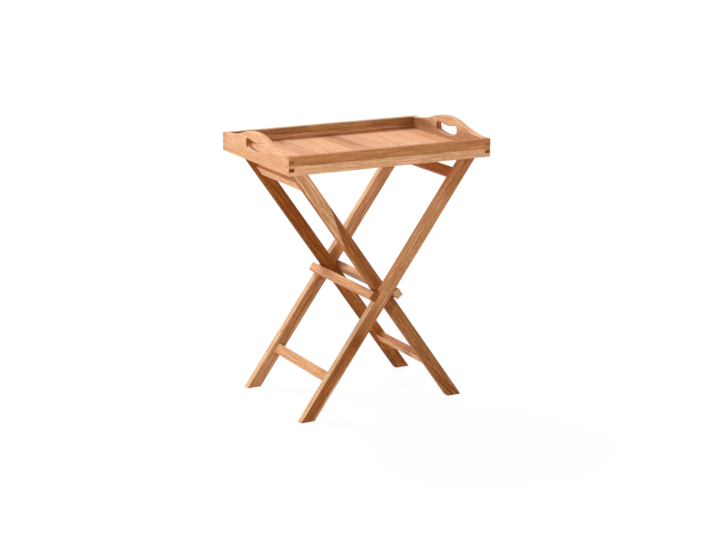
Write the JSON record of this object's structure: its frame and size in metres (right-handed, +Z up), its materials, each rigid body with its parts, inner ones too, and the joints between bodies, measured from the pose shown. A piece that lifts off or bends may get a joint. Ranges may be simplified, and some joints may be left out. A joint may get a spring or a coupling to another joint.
{
  "type": "butlers tray table",
  "caption": "Wooden tray table: a lift-off tray with humped, pierced ends on a folding cross-legged stand.",
  "frame": {"origin": "on the ground under the middle of the table", "axes": "+X along the tray, towards its right end; front towards -Y; +Z up"},
  "size_m": [0.6, 0.4, 0.753],
  "materials": {
    "rim_wood": "satin oiled teak",
    "floor_wood": "satin oiled teak",
    "stand_wood": "satin oiled teak",
    "dowel_wood": "bare hardwood",
    "plug_wood": "satin oiled teak",
    "pivot_steel": "zinc plated"
  },
  "bodies": {
    "tray": {"tray_front_rail": "rim_wood", "tray_back_rail": "rim_wood", "tray_left_end": "rim_wood", "tray_right_end": "rim_wood", "tray_slat_01": "floor_wood", "tray_slat_02": "floor_wood", "tray_slat_03": "floor_wood", "tray_slat_04": "floor_wood", "tray_slat_05": "floor_wood", "tray_slat_06": "floor_wood", "tray_slat_07": "floor_wood", "tray_slat_08": "floor_wood", "tray_slat_09": "floor_wood", "tray_slat_10": "floor_wood", "tray_slat_11": "floor_wood"},
    "outer_frame": {"outer_front_leg": "stand_wood", "outer_back_leg": "stand_wood", "outer_top_rail": "stand_wood", "outer_low_stretcher": "stand_wood", "outer_stop_bar": "stand_wood", "outer_bar_dowels": "dowel_wood", "outer_pivot_plugs": "plug_wood", "pivot_bolts": "pivot_steel", "pivot_washers": "pivot_steel", "pivot_nuts": "pivot_steel"},
    "inner_frame": {"inner_front_leg": "stand_wood", "inner_back_leg": "stand_wood", "inner_top_rail": "stand_wood", "inner_low_stretcher": "stand_wood", "inner_stop_bar": "stand_wood", "inner_bar_dowels": "dowel_wood", "inner_pivot_plugs": "plug_wood"}
  },
  "joints": [
    {"name": "stand_fold", "type": "hinge", "parent": "outer_frame", "child": "inner_frame", "pos_m": [0, 0, 0.32375], "axis": [0, 1, 0], "range_deg": [0, 65]},
    {"name": "tray_lift", "type": "slide", "parent": "outer_frame", "child": "tray", "axis": [0, 0, 1], "range_m": [0, 0.3522]}
  ],
  "couplings": [
    {"joint": "tray_lift", "follows": "stand_fold", "m_per_rad": 0.31}
  ]
}
